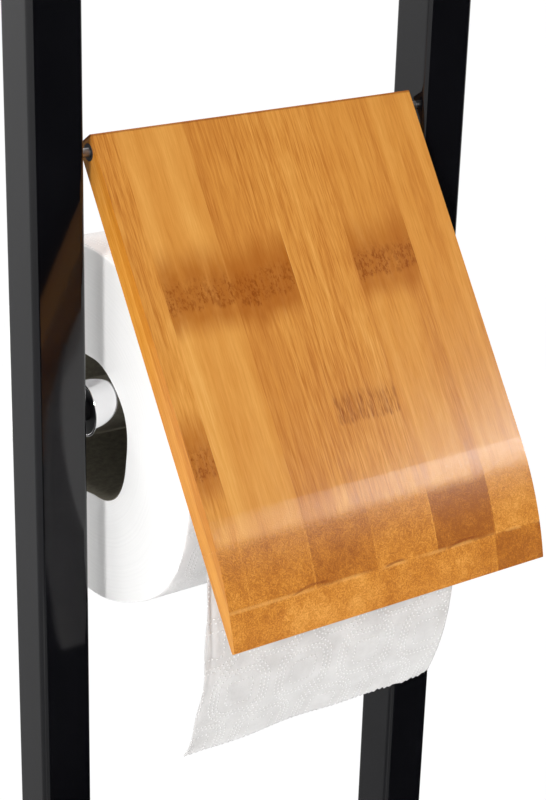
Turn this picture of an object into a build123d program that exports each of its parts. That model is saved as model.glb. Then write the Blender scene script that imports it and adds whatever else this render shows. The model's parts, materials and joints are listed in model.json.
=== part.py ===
from build123d import *
import os
from math import acos, atan2, ceil, cos, degrees, hypot, pi, radians, sin, sqrt

# Toilet roll and brush stand, in millimetres, +Z up.
# The origin is on the floor under the middle of the base. X runs along the lid's hinge,
# and -Y is the front, where the lid slopes down and the paper hangs.

os.makedirs("parts", exist_ok=True)

# Frame of square tube on a base plate
tube_side = 18.0
tube_wall = 1.5
tube_corner = 2.0
post_gap = 128.0
stand_height = 790.0
base_width = 200.0
base_depth = 190.0
base_thickness = 5.0
base_corner = 14.0
foot_radius = 9.0
foot_height = 3.0
foot_inset = 20.0
post_screw_radius = 3.0
post_screw_reach = 14.0
insert_height = 20.0

# Lid of bamboo board on two pins
hinge_below_top = 100.0
hinge_y = -3.6
lid_gap = 4.0
lid_length = 155.0
lid_heel = 4.2
lid_thickness = 9.0
lid_nose = 1.3
lid_curve_run = 39.0
lid_edge_round = 0.6
pin_radius = 1.4
pin_reach_lid = 11.0
pin_reach_post = 7.0
bush_radius = 2.7
bush_length = 14.0
nut_width = 7.0
nut_thickness = 3.5

# Spring roller between the posts
roller_y = 1.5
roller_drop = 84.5
roller_radius = 9.25
roller_wall = 0.8
roller_end_gap = 3.5
roller_travel = 6.0
roller_lap = 30.0
nub_radius = 4.0
nub_reach = 4.0
plug_length = 8.0
plug_recess = 0.8
spring_wire = 1.2
spring_coils = 12

# Toilet roll: the lid leans on it and pushes it back by the lean angle
core_inner_radius = 25.2
core_wall = 0.9
core_recess = 0.6
roll_radius = 61.5
roll_width = 98.0
roll_edge_round = 1.2
roll_lean = 42.0
roll_shift = -3.2
sheet_thickness = 0.6
sheet_lift_angle = 22.0
sheet_front_out = 11.0
sheet_drop_round = 30.0
sheet_straight_end = 143.0
sheet_length_below_hinge = 187.3
sheet_curl_back = 11.6

# Brush and its cup
cup_radius = 47.0
cup_wall = 1.0
cup_height = 124.0
liner_wall = 1.8
liner_lift = 6.0
liner_rim = 2.0
cup_screw_radius = 2.5
cup_nut_width = 8.0
cup_nut_thickness = 3.0
collar_thickness = 3.0
rod_radius = 5.5
rod_wall = 1.2
brush_top = 362.0
grip_radius = 9.5
grip_length = 105.0
grip_cap_height = 7.0
head_radius = 11.0
head_height = 80.0
head_floor_gap = 9.0
bristle_radius = 35.0
bristle_side = 1.0
bristle_rings = 16
bristles_per_ring = 24
bristle_backing = 0.6

# Clearances
weld_gap = 0.02
press_gap = 0.03
thread_gap = 0.05
running_gap = 0.08
seat_gap = 0.3
nub_gap = 0.3
lid_rest_gap = 0.4

# Places worked out from the sizes
hinge_height = stand_height - hinge_below_top
base_bottom = foot_height
base_top = base_bottom + base_thickness
post_x = (post_gap + tube_side) / 2
tube_inner = tube_side - 2 * tube_wall
half_gap = post_gap / 2
lid_width = post_gap - 2 * lid_gap
roller_z = hinge_height - roller_drop
hang_arm = core_inner_radius - roller_radius - seat_gap
roll_y = roller_y + hang_arm * sin(radians(roll_lean))
roll_z = roller_z - hang_arm * cos(radians(roll_lean))
core_outer_radius = core_inner_radius + core_wall

# The closed lid's slope below level, set by the roll that it leans on
roll_behind_hinge = roll_y - hinge_y
roll_below_hinge = hinge_height - roll_z
lid_stand_off = roll_radius + lid_thickness / 2 + lid_rest_gap
lid_slope = atan2(roll_behind_hinge, roll_below_hinge) + acos(
    lid_stand_off / hypot(roll_behind_hinge, roll_below_hinge)
)


def along_x(x, y, z):
    """A plane square to X, whose sketches are extruded towards +X."""
    return Plane(origin=(x, y, z), x_dir=(0, 1, 0), z_dir=(1, 0, 0))


def sides():
    return ((-1, "left"), (1, "right"))


def mitre_plane(side):
    """The weld plane of a top corner, with its normal pointing up and inwards."""
    corner = (side * post_x, 0, stand_height - tube_side / 2)
    return Plane(origin=corner, x_dir=(0, 1, 0), z_dir=(-side, 0, 1))


def tube_profile():
    RectangleRounded(tube_side, tube_side, tube_corner)
    RectangleRounded(tube_inner, tube_inner, tube_corner - tube_wall, mode=Mode.SUBTRACT)


# Posts: mitred at the top, drilled on the inner side for the hinge pin and the roller's nub
posts = {}
for side, name in sides():
    with BuildPart() as post:
        with BuildSketch(Plane(origin=(side * post_x, 0, base_top))):
            tube_profile()
        extrude(amount=stand_height - base_top)
        split(bisect_by=mitre_plane(side), keep=Keep.BOTTOM)
        with BuildSketch(along_x(side * half_gap, hinge_y, hinge_height)):
            Circle(pin_radius + thread_gap)
        extrude(amount=tube_wall + 1, both=True, mode=Mode.SUBTRACT)
        with BuildSketch(along_x(side * half_gap, roller_y, roller_z)):
            Circle(nub_radius + nub_gap)
        extrude(amount=tube_wall + 1, both=True, mode=Mode.SUBTRACT)
    post.part.label = name + "_post"
    posts[name] = post
    export_step(post.part, "parts/" + name + "_post.step")

# Top rail: joins the posts at the mitres
with BuildPart() as top_rail:
    with BuildSketch(along_x(0, 0, stand_height - tube_side / 2)):
        tube_profile()
    extrude(amount=post_x + tube_side / 2, both=True)
    for side, name in sides():
        weld = mitre_plane(side).offset(weld_gap)
        split(bisect_by=weld, keep=Keep.TOP)
top_rail.part.label = "top_rail"
export_step(top_rail.part, "parts/top_rail.step")

# Base plate: countersunk below for the posts' screws and the cup's screw
with BuildPart() as base_plate:
    with BuildSketch(Plane.XY.offset(base_bottom)):
        RectangleRounded(base_width, base_depth, base_corner)
    extrude(amount=base_thickness)
    chamfer(base_plate.faces().sort_by(Axis.Z)[-1].edges(), 0.6)
    below = Plane(origin=(0, 0, base_bottom), x_dir=(1, 0, 0), z_dir=(0, 0, -1))
    with Locations(below):
        with Locations((-post_x, 0), (post_x, 0)):
            CounterSinkHole(post_screw_radius + thread_gap, 2 * post_screw_radius + thread_gap)
        CounterSinkHole(cup_screw_radius + thread_gap, 2 * cup_screw_radius + thread_gap)
base_plate.part.label = "base_plate"
export_step(base_plate.part, "parts/base_plate.step")

# Threaded blocks welded into the posts' lower ends
with BuildPart() as post_inserts:
    with BuildSketch(Plane.XY.offset(base_top)):
        with Locations((-post_x, 0), (post_x, 0)):
            Rectangle(tube_inner - 2 * press_gap, tube_inner - 2 * press_gap)
    extrude(amount=insert_height)
    fillet(post_inserts.edges().filter_by(Axis.Z), tube_corner - tube_wall + press_gap)
    with Locations(Plane.XY.offset(base_top + insert_height)):
        with Locations((-post_x, 0), (post_x, 0)):
            Hole(post_screw_radius + thread_gap)
post_inserts.part.label = "post_inserts"
export_step(post_inserts.part, "parts/post_inserts.step")


def countersunk_screw(radius, reach):
    """Half outline of a countersunk screw that enters the base plate from below."""
    tip = base_top + reach
    return (
        (0, base_bottom),
        (2 * radius, base_bottom),
        (radius, base_bottom + radius),
        (radius, tip - 1),
        (radius - 1, tip),
        (0, tip),
    )


# Screws that hold the posts to the base plate
with BuildPart() as base_screws:
    for side, name in sides():
        with BuildSketch(Plane(origin=(side * post_x, 0, 0), x_dir=(1, 0, 0), z_dir=(0, -1, 0))):
            with BuildLine():
                Polyline(*countersunk_screw(post_screw_radius, post_screw_reach), close=True)
            make_face()
        revolve(axis=Axis((side * post_x, 0, 0), (0, 0, 1)))
base_screws.part.label = "base_screws"
export_step(base_screws.part, "parts/base_screws.step")

# Rubber feet glued under the base plate
with BuildPart() as rubber_feet:
    with BuildSketch(Plane.XY.offset(foot_height)):
        with GridLocations(base_width - 2 * foot_inset, base_depth - 2 * foot_inset, 2, 2):
            Circle(foot_radius)
    extrude(amount=-foot_height, taper=8)
rubber_feet.part.label = "rubber_feet"
export_step(rubber_feet.part, "parts/rubber_feet.step")

# Lid: its profile is drawn down the slope from the hinge, and the nose is milled to a curve
slope_dir = (0, -cos(lid_slope), -sin(lid_slope))
lid_plane = Plane(origin=(0, hinge_y, hinge_height), x_dir=slope_dir, z_dir=(-1, 0, 0))
bush_bore_depth = bush_length + 1
with BuildPart() as lid:
    with BuildSketch(lid_plane):
        with BuildLine():
            half = lid_thickness / 2
            rear = Line((-lid_heel, -half), (-lid_heel, half))
            top = Line(rear @ 1, (lid_length - lid_curve_run, half))
            curve = TangentArc(top @ 1, (lid_length, lid_nose - half), tangent=(1, 0))
            nose = Line(curve @ 1, (lid_length, -half))
            Line(nose @ 1, rear @ 0)
        make_face()
    extrude(amount=lid_width / 2, both=True)
    fillet(lid.edges().filter_by(GeomType.LINE).filter_by(Axis.X), lid_edge_round)
    for side, name in sides():
        with BuildSketch(along_x(side * lid_width / 2, hinge_y, hinge_height)):
            Circle(bush_radius + press_gap)
        extrude(amount=-side * bush_bore_depth, mode=Mode.SUBTRACT)
lid.part.label = "lid"
export_step(lid.part, "parts/lid.step")

# Bushes pressed into the lid's sides
with BuildPart() as lid_bushes:
    for side, name in sides():
        with BuildSketch(along_x(side * lid_width / 2, hinge_y, hinge_height)):
            Circle(bush_radius)
            Circle(pin_radius + running_gap, mode=Mode.SUBTRACT)
        extrude(amount=-side * bush_length)
lid_bushes.part.label = "lid_bushes"
export_step(lid_bushes.part, "parts/lid_bushes.step")

# Hinge pins: screwed through the posts' inner walls, and turning in the bushes
with BuildPart() as hinge_pins:
    for side, name in sides():
        with BuildSketch(along_x(side * (half_gap + pin_reach_post), hinge_y, hinge_height)):
            Circle(pin_radius)
        extrude(amount=-side * (pin_reach_post + lid_gap + pin_reach_lid))
    chamfer(hinge_pins.edges().filter_by(GeomType.CIRCLE), 0.4)
hinge_pins.part.label = "hinge_pins"
export_step(hinge_pins.part, "parts/hinge_pins.step")

# Square nuts welded behind the posts' inner walls
with BuildPart() as pin_nuts:
    for side, name in sides():
        wall_x = half_gap + tube_wall + weld_gap
        with BuildSketch(along_x(side * wall_x, hinge_y, hinge_height)):
            Rectangle(nut_width, nut_width)
            Circle(pin_radius + thread_gap, mode=Mode.SUBTRACT)
        extrude(amount=side * nut_thickness)
pin_nuts.part.label = "pin_nuts"
export_step(pin_nuts.part, "parts/pin_nuts.step")

# Spring roller: an outer sleeve on the left, and an inner sleeve that slides in from the right
roller_end_x = half_gap - roller_end_gap
outer_bore = roller_radius - roller_wall
inner_radius = outer_bore - running_gap
inner_bore = inner_radius - roller_wall
outer_open_x = roller_lap / 2
inner_open_x = -roller_lap / 2

with BuildPart() as roller_outer_sleeve:
    with BuildSketch(along_x(-roller_end_x, roller_y, roller_z)):
        Circle(roller_radius)
        Circle(outer_bore, mode=Mode.SUBTRACT)
    extrude(amount=roller_end_x + outer_open_x)
    fillet(roller_outer_sleeve.edges().filter_by(GeomType.CIRCLE), 0.3)
roller_outer_sleeve.part.label = "roller_outer_sleeve"
export_step(roller_outer_sleeve.part, "parts/roller_outer_sleeve.step")

with BuildPart() as roller_inner_sleeve:
    with BuildSketch(along_x(inner_open_x, roller_y, roller_z)):
        Circle(inner_radius)
        Circle(inner_bore, mode=Mode.SUBTRACT)
    extrude(amount=roller_end_x - inner_open_x)
    fillet(roller_inner_sleeve.edges().filter_by(GeomType.CIRCLE), 0.3)
roller_inner_sleeve.part.label = "roller_inner_sleeve"
export_step(roller_inner_sleeve.part, "parts/roller_inner_sleeve.step")


def end_plug(side, bore):
    """A stepped plug in a sleeve's end, with the nub that enters the post."""
    with BuildPart() as plug:
        outer_face = side * (roller_end_x - plug_recess)
        with BuildSketch(along_x(outer_face, roller_y, roller_z)):
            Circle(bore - press_gap)
        extrude(amount=-side * plug_length)
        with BuildSketch(along_x(outer_face, roller_y, roller_z)):
            Circle(nub_radius)
        extrude(amount=side * (plug_recess + roller_end_gap + nub_reach))
        tip = plug.faces().sort_by(Axis.X)[-1 if side > 0 else 0]
        fillet(tip.edges(), 1.5)
    return plug


left_plug = end_plug(-1, outer_bore)
left_plug.part.label = "left_end_plug"
export_step(left_plug.part, "parts/left_end_plug.step")

right_plug = end_plug(1, inner_bore)
right_plug.part.label = "right_end_plug"
export_step(right_plug.part, "parts/right_end_plug.step")

# Spring inside the roller: one coil, from the left plug to the right plug
spring_left = -(roller_end_x - plug_recess - plug_length) + seat_gap
spring_right = roller_end_x - plug_recess - plug_length - seat_gap
spring_radius = inner_bore - spring_wire / 2 - 0.6
spring_run = spring_right - spring_left - spring_wire
with BuildPart() as roller_spring:
    spring_start = (spring_left + spring_wire / 2, roller_y, roller_z)
    coil = Helix(
        pitch=spring_run / spring_coils,
        height=spring_run,
        radius=spring_radius,
        center=spring_start,
        direction=(1, 0, 0),
    )
    with BuildSketch(Plane(origin=coil @ 0, z_dir=coil % 0)):
        Circle(spring_wire / 2)
    sweep(path=coil, is_frenet=True)
roller_spring.part.label = "roller_spring"
export_step(roller_spring.part, "parts/roller_spring.step")

# Toilet roll: the paper on its card core
with BuildPart() as paper_roll:
    with BuildSketch(along_x(roll_shift, roll_y, roll_z)):
        Circle(roll_radius)
        Circle(core_outer_radius + press_gap, mode=Mode.SUBTRACT)
    extrude(amount=roll_width / 2, both=True)
    outer_edges = paper_roll.edges().filter_by(GeomType.CIRCLE).sort_by(SortBy.RADIUS)[-2:]
    fillet(outer_edges, roll_edge_round)
paper_roll.part.label = "paper_roll"
export_step(paper_roll.part, "parts/paper_roll.step")

with BuildPart() as card_core:
    with BuildSketch(along_x(roll_shift, roll_y, roll_z)):
        Circle(core_outer_radius)
        Circle(core_inner_radius, mode=Mode.SUBTRACT)
    extrude(amount=roll_width / 2 - core_recess, both=True)
card_core.part.label = "card_core"
export_step(card_core.part, "parts/card_core.step")

# Hanging sheet: leaves the roll at a tangent, swings out, hangs, and curls back at its end
lift = radians(sheet_lift_angle)
sheet_radius = roll_radius + seat_gap + sheet_thickness / 2
leave_y = roll_y - sheet_radius * cos(lift)
leave_z = roll_z + sheet_radius * sin(lift)
front_y = roll_y - roll_radius - sheet_front_out
round_in = sheet_drop_round * (1 - cos(lift))
slant_run = (leave_y - front_y - round_in) / sin(lift)
with BuildPart() as hanging_sheet:
    with BuildSketch(along_x(roll_shift - roll_width / 2, 0, 0)):
        with BuildLine():
            leave = (leave_y, leave_z)
            turn = (leave_y - slant_run * sin(lift), leave_z - slant_run * cos(lift))
            slant = Line(leave, turn)
            plumb = (front_y, turn[1] - sheet_drop_round * sin(lift))
            bend = TangentArc(turn, plumb, tangent=slant % 1)
            plumb_end = (front_y, hinge_height - sheet_straight_end)
            hang = Line(plumb, plumb_end)
            end = (front_y + sheet_curl_back, hinge_height - sheet_length_below_hinge)
            curl = TangentArc(plumb_end, end, tangent=hang % 1)
        trace(line_width=sheet_thickness)
    extrude(amount=roll_width)
hanging_sheet.part.label = "hanging_sheet"
export_step(hanging_sheet.part, "parts/hanging_sheet.step")

# Brush cup: a steel shell screwed to the base plate, with a plastic liner hung on its rim
cup_top = base_top + cup_height
cup_bore = cup_radius - cup_wall
liner_outer = cup_bore - seat_gap
liner_inner = liner_outer - liner_wall
liner_floor = base_top + cup_wall + liner_lift
liner_top = cup_top + liner_rim


def cup_section(outer, inner, bottom, floor, top):
    """Half outline of a cup with an outer and an inner radius."""
    return (0, bottom), (outer, bottom), (outer, top), (inner, top), (inner, floor), (0, floor)


with BuildPart() as brush_cup:
    with BuildSketch(Plane.XZ):
        shell = cup_section(cup_radius, cup_bore, base_top, base_top + cup_wall, cup_top)
        with BuildLine():
            Polyline(*shell, close=True)
        make_face()
    revolve(axis=Axis.Z)
    with Locations(Plane.XY.offset(base_top + cup_wall)):
        Hole(cup_screw_radius + thread_gap)
brush_cup.part.label = "brush_cup"
export_step(brush_cup.part, "parts/brush_cup.step")

with BuildPart() as cup_liner:
    with BuildSketch(Plane.XZ):
        inside = liner_floor + liner_wall
        shell = cup_section(liner_outer, liner_inner, liner_floor, inside, liner_top)
        with BuildLine():
            Polyline(*shell, close=True)
        make_face()
        with BuildLine():
            Polyline(
                (liner_inner, cup_top),
                (cup_radius + 0.6, cup_top),
                (cup_radius + 0.6, liner_top),
                (liner_inner, liner_top),
                close=True,
            )
        make_face()
    revolve(axis=Axis.Z)
    rim_edges = cup_liner.faces().sort_by(Axis.Z)[-1].edges()
    fillet(rim_edges, 0.7)
cup_liner.part.label = "cup_liner"
export_step(cup_liner.part, "parts/cup_liner.step")

cup_screw_tip = cup_wall + cup_nut_thickness + 0.8
with BuildPart() as cup_screw:
    with BuildSketch(Plane.XZ):
        with BuildLine():
            Polyline(*countersunk_screw(cup_screw_radius, cup_screw_tip), close=True)
        make_face()
    revolve(axis=Axis.Z)
cup_screw.part.label = "cup_screw"
export_step(cup_screw.part, "parts/cup_screw.step")

with BuildPart() as cup_nut:
    with BuildSketch(Plane.XY.offset(base_top + cup_wall)):
        RegularPolygon(cup_nut_width / 2, 6, major_radius=False)
        Circle(cup_screw_radius + thread_gap, mode=Mode.SUBTRACT)
    extrude(amount=cup_nut_thickness)
cup_nut.part.label = "cup_nut"
export_step(cup_nut.part, "parts/cup_nut.step")

# Brush: the collar rests on the liner's rim and carries the rod, the grip and the head
collar_z = liner_top + seat_gap / 3
head_bottom = liner_floor + liner_wall + head_floor_gap
head_top = head_bottom + head_height
grip_top = brush_top - grip_cap_height
grip_bottom = grip_top - grip_length
rod_bottom = head_top - 30

with BuildPart() as splash_collar:
    with BuildSketch(Plane.XY.offset(collar_z)):
        Circle(cup_radius + 0.6)
        Circle(rod_radius + press_gap, mode=Mode.SUBTRACT)
    extrude(amount=collar_thickness)
    with BuildSketch(Plane.XY.offset(collar_z + collar_thickness)):
        Circle(rod_radius + 4)
        Circle(rod_radius + press_gap, mode=Mode.SUBTRACT)
    extrude(amount=6)
    outer_rim = splash_collar.edges().filter_by(GeomType.CIRCLE).sort_by(SortBy.RADIUS)[-2:]
    fillet(outer_rim, 0.8)
splash_collar.part.label = "splash_collar"
export_step(splash_collar.part, "parts/splash_collar.step")

with BuildPart() as brush_rod:
    with BuildSketch(Plane.XY.offset(rod_bottom)):
        Circle(rod_radius)
        Circle(rod_radius - rod_wall, mode=Mode.SUBTRACT)
    extrude(amount=grip_top - rod_bottom)
brush_rod.part.label = "brush_rod"
export_step(brush_rod.part, "parts/brush_rod.step")

with BuildPart() as brush_grip:
    with BuildSketch(Plane.XZ):
        with BuildLine():
            waist = rod_radius + press_gap
            low = grip_radius - 1.6
            inner = Line((waist, grip_bottom), (waist, grip_top))
            cap_side = Line(inner @ 1, (grip_radius, grip_top))
            belly = ThreePointArc(
                cap_side @ 1,
                (grip_radius - 0.3, grip_bottom + grip_length * 0.55),
                (low, grip_bottom),
            )
            Line(belly @ 1, inner @ 0)
        make_face()
    revolve(axis=Axis.Z)
brush_grip.part.label = "brush_grip"
export_step(brush_grip.part, "parts/brush_grip.step")

with BuildPart() as grip_cap:
    with BuildSketch(Plane.XZ):
        with BuildLine():
            crown = TangentArc((0, brush_top), (grip_radius, grip_top + 2), tangent=(1, 0))
            wall = Line(crown @ 1, (grip_radius, grip_top))
            foot = Line(wall @ 1, (0, grip_top))
            Line(foot @ 1, crown @ 0)
        make_face()
    revolve(axis=Axis.Z)
grip_cap.part.label = "grip_cap"
export_step(grip_cap.part, "parts/grip_cap.step")

with BuildPart() as brush_head:
    with BuildSketch(Plane.XY.offset(head_bottom)):
        Circle(head_radius)
    extrude(amount=head_height)
    fillet(brush_head.faces().sort_by(Axis.Z)[0].edges(), 5)
    with BuildSketch(Plane.XY.offset(rod_bottom)):
        Circle(rod_radius + press_gap)
    extrude(amount=head_top - rod_bottom, mode=Mode.SUBTRACT)
brush_head.part.label = "brush_head"
export_step(brush_head.part, "parts/brush_head.step")

# Bristles: rings of square strands, joined to a thin sleeve that is glued on the head
ring_rise = (head_height - 14) / (bristle_rings - 1)
sleeve_bottom = head_bottom + 6
sleeve_outer = head_radius + press_gap + bristle_backing
strands = []
for ring in range(bristle_rings):
    height = sleeve_bottom + 1 + ring * ring_rise
    middle = abs(ring / (bristle_rings - 1) - 0.5) * 2
    reach = bristle_radius - 6 * middle ** 3
    for count in range(bristles_per_ring):
        turn_angle = 360 / bristles_per_ring * (count + ring % 2 / 2)
        outward = (cos(radians(turn_angle)), sin(radians(turn_angle)), 0)
        root = head_radius + press_gap + bristle_backing / 2
        start = Plane(
            origin=(outward[0] * root, outward[1] * root, height),
            x_dir=(0, 0, 1),
            z_dir=outward,
        )
        strands.append(start * Pos(0, 0, (reach - root) / 2) * Box(bristle_side, bristle_side, reach - root))
with BuildPart() as bristles:
    with BuildSketch(Plane.XY.offset(sleeve_bottom)):
        Circle(sleeve_outer)
        Circle(head_radius + press_gap, mode=Mode.SUBTRACT)
    extrude(amount=(bristle_rings - 1) * ring_rise + 2)
    add(strands)
bristles.part.label = "bristles"
export_step(bristles.part, "parts/bristles.step")

print("lid slope", round(degrees(lid_slope), 2), "roll centre", round(roll_y, 2), round(roll_z, 2))
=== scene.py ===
import json
import math
import random

import bmesh
import bpy
from mathutils import Matrix, Vector


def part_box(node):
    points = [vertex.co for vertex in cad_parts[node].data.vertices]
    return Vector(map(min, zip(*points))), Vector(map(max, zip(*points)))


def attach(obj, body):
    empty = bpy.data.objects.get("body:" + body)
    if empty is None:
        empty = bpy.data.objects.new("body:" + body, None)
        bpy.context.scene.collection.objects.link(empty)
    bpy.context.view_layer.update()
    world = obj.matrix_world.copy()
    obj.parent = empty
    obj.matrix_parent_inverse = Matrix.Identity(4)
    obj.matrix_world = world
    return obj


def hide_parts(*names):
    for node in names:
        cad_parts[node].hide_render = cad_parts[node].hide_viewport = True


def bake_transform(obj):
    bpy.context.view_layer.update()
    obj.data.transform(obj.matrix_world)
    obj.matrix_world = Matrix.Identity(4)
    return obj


# Looks of the toilet roll and brush stand, in metres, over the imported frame.
# +Z is up, X runs along the lid's hinge and -Y is the front.

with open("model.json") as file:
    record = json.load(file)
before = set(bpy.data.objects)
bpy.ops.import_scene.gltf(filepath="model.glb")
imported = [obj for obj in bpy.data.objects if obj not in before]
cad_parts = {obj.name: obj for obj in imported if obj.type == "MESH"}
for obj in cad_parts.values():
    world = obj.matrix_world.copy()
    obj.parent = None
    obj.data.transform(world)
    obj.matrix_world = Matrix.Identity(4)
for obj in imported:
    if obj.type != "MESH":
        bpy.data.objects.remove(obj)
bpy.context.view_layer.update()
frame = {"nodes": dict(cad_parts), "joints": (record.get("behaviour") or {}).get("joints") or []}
nodes = frame["nodes"]
joints = {joint["name"]: joint for joint in frame["joints"]}
MM = 0.001

# Places read from the frame
hinge = Vector(joints["lid_hinge"]["pos_m"])
roll_axis = Vector(joints["roll_spin"]["pos_m"])
roll_low, roll_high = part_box("paper_roll")
core_low, core_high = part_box("card_core")
sheet_low, sheet_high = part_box("hanging_sheet")
roll_radius = (roll_high.z - roll_low.z) / 2
core_radius = (core_high.z - core_low.z) / 2
lid_face = max(nodes["lid"].data.polygons, key=lambda face: face.area * face.normal.z)
lid_slope = math.atan2(-lid_face.normal.y, lid_face.normal.z)

# Camera fitted to the edges of the posts and the lid in the photograph, its height above the hinge
CAMERA_PLACE = Vector((-335.89, -495.25, 151.58)) * MM
CAMERA_AZIMUTH = math.radians(35.119)
CAMERA_DOWN = math.radians(22.271)
CAMERA_ROLL = math.radians(1.635)
FOCAL_PIXELS = 1932.5
FRAME_HEIGHT_PIXELS = 800
SENSOR = 36.0


def add_camera():
    data = bpy.data.cameras.new("camera")
    data.sensor_fit = "AUTO"
    data.sensor_width = SENSOR
    data.lens = FOCAL_PIXELS * SENSOR / FRAME_HEIGHT_PIXELS
    data.clip_start = 0.02
    camera = bpy.data.objects.new("camera", data)
    bpy.context.scene.collection.objects.link(camera)
    level = math.cos(CAMERA_DOWN)
    forward = Vector(
        (math.sin(CAMERA_AZIMUTH) * level, math.cos(CAMERA_AZIMUTH) * level, -math.sin(CAMERA_DOWN))
    )
    right = Vector((math.cos(CAMERA_AZIMUTH), -math.sin(CAMERA_AZIMUTH), 0))
    up = right.cross(forward)
    turned_right = right * math.cos(CAMERA_ROLL) + up * math.sin(CAMERA_ROLL)
    turned_up = up * math.cos(CAMERA_ROLL) - right * math.sin(CAMERA_ROLL)
    axes = Matrix((turned_right, turned_up, -forward)).transposed()
    camera.matrix_world = Matrix.Translation(CAMERA_PLACE + Vector((0, 0, hinge.z))) @ axes.to_4x4()
    bpy.context.scene.camera = camera


class Graph:
    """A material's node tree, with one short method for each kind of node."""

    def __init__(self, name):
        self.material = bpy.data.materials.new(name)
        self.material.use_nodes = True
        self.tree = self.material.node_tree
        self.shader = self.tree.nodes["Principled BSDF"]

    def node(self, kind, **settings):
        made = self.tree.nodes.new(kind)
        for key, value in settings.items():
            setattr(made, key, value)
        return made

    def put(self, socket, value):
        if isinstance(value, bpy.types.NodeSocket):
            self.tree.links.new(value, socket)
        elif isinstance(value, tuple) and len(value) == 3 and socket.type == "RGBA":
            socket.default_value = (*value, 1)
        else:
            socket.default_value = value

    def set(self, name, value):
        self.put(self.shader.inputs[name], value)

    def math(self, operation, first, second=0.0, third=0.0, clamp=False):
        made = self.node("ShaderNodeMath", operation=operation, use_clamp=clamp)
        self.put(made.inputs[0], first)
        self.put(made.inputs[1], second)
        self.put(made.inputs[2], third)
        return made.outputs[0]

    def times(self, first, second):
        return self.math("MULTIPLY", first, second)

    def minus(self, first, second):
        return self.math("SUBTRACT", first, second)

    def plus(self, value, factor, base):
        """base plus the value times the factor."""
        return self.math("MULTIPLY_ADD", value, factor, base)

    def sway(self, value, middle, factor, base):
        """base moved up and down by how far the value lies from its middle."""
        return self.plus(self.minus(value, middle), factor, base)

    def off(self, value, place):
        """How far the value lies from a place, on either side."""
        return self.math("ABSOLUTE", self.minus(value, place))

    def length(self, first, second):
        return self.math("SQRT", self.plus(first, first, self.times(second, second)))

    def step(self, value, low, high):
        """0 below low, 1 above high, smooth between; low may be above high."""
        made = self.node("ShaderNodeMapRange", interpolation_type="SMOOTHSTEP")
        falling = low > high
        self.put(made.inputs["Value"], value)
        self.put(made.inputs["From Min"], high if falling else low)
        self.put(made.inputs["From Max"], low if falling else high)
        self.put(made.inputs["To Min"], 1.0 if falling else 0.0)
        self.put(made.inputs["To Max"], 0.0 if falling else 1.0)
        return made.outputs[0]

    def band(self, value, start, full, fading, gone):
        """1 from full to fading, and smooth down to 0 at start and at gone."""
        return self.times(self.step(value, start, full), self.step(value, gone, fading))

    def mix(self, factor, first, second):
        made = self.node("ShaderNodeMix", data_type="RGBA")
        self.put(made.inputs[0], factor)
        self.put(made.inputs[6], first)
        self.put(made.inputs[7], second)
        return made.outputs[2]

    def place(self):
        return self.node("ShaderNodeTexCoord").outputs["Object"]

    def split(self, vector):
        made = self.node("ShaderNodeSeparateXYZ")
        self.put(made.inputs[0], vector)
        return made.outputs[0], made.outputs[1], made.outputs[2]

    def join(self, x, y, z):
        made = self.node("ShaderNodeCombineXYZ")
        self.put(made.inputs[0], x)
        self.put(made.inputs[1], y)
        self.put(made.inputs[2], z)
        return made.outputs[0]

    def scaled(self, vector, x, y, z):
        made = self.node("ShaderNodeVectorMath", operation="MULTIPLY")
        self.put(made.inputs[0], vector)
        made.inputs[1].default_value = (x, y, z)
        return made.outputs[0]

    def noise(self, vector, scale=1.0, detail=3.0, roughness=0.5, distortion=0.0):
        made = self.node("ShaderNodeTexNoise")
        self.put(made.inputs["Vector"], vector)
        self.put(made.inputs["Scale"], scale)
        self.put(made.inputs["Detail"], detail)
        self.put(made.inputs["Roughness"], roughness)
        self.put(made.inputs["Distortion"], distortion)
        return made.outputs[0]

    def ramp(self, value, stops, constant=False):
        made = self.node("ShaderNodeValToRGB")
        made.color_ramp.interpolation = "CONSTANT" if constant else "LINEAR"
        elements = made.color_ramp.elements
        while len(elements) < len(stops):
            elements.new(1.0)
        for element, (position, colour) in zip(elements, stops):
            element.position = position
            element.color = (*colour, 1) if isinstance(colour, tuple) else (colour, colour, colour, 1)
        self.put(made.inputs[0], value)
        return made.outputs[0]

    def bump(self, height, distance, strength=1.0, under=None):
        made = self.node("ShaderNodeBump")
        self.put(made.inputs["Height"], height)
        self.put(made.inputs["Distance"], distance)
        self.put(made.inputs["Strength"], strength)
        if under is not None:
            self.put(made.inputs["Normal"], under)
        return made.outputs[0]


# Bamboo strips of the lid across X: right edge in mm, tone of the face, tone of the end grain, how far
# down the slope in mm the strip's node lies, how streaky its grain is, and how stained round the node
STRIPS = (
    (-52.3, 0.46, 0.42, 99.5, 0.7, 0.8),
    (-28.9, 0.60, 0.42, 50.5, 0.3, 0.85),
    (-17.0, 0.40, 0.22, 51.5, 0.4, 0.95),
    (-5.5, 0.46, 0.26, 50.5, 0.6, 0.95),
    (17.9, 0.55, 0.48, 94.0, 0.7, 0.10),
    (41.3, 0.46, 0.10, 50.5, 0.4, 0.75),
    (60.0, 0.53, 0.60, 400.0, 0.35, 0.0),
)
FACE, END, NODE_PLACE, STREAK, STAINED = range(1, 6)

# Where two strips are glued, in mm across X; at -17.0 the tone changes with no joint
SEAMS = (-52.3, -28.9, -5.5, 17.9, 41.3)

# Width in mm that the strips' colour ramps cover, and the node place that their full value stands for
STRIP_SPAN = 140.0
NODE_REACH = 500.0

# Height of the glue line over the hinge's axis, and how far the plies blend across it; where the nose
# starts and is full down the slope, and how far up from it the board is frosted
PLY_LINE = 0.75 * MM
PLY_BLEND = 0.12 * MM
NOSE_START = 122.0 * MM
NOSE_FULL = 127.0 * MM
FROST_REACH = 12 * MM

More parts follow.
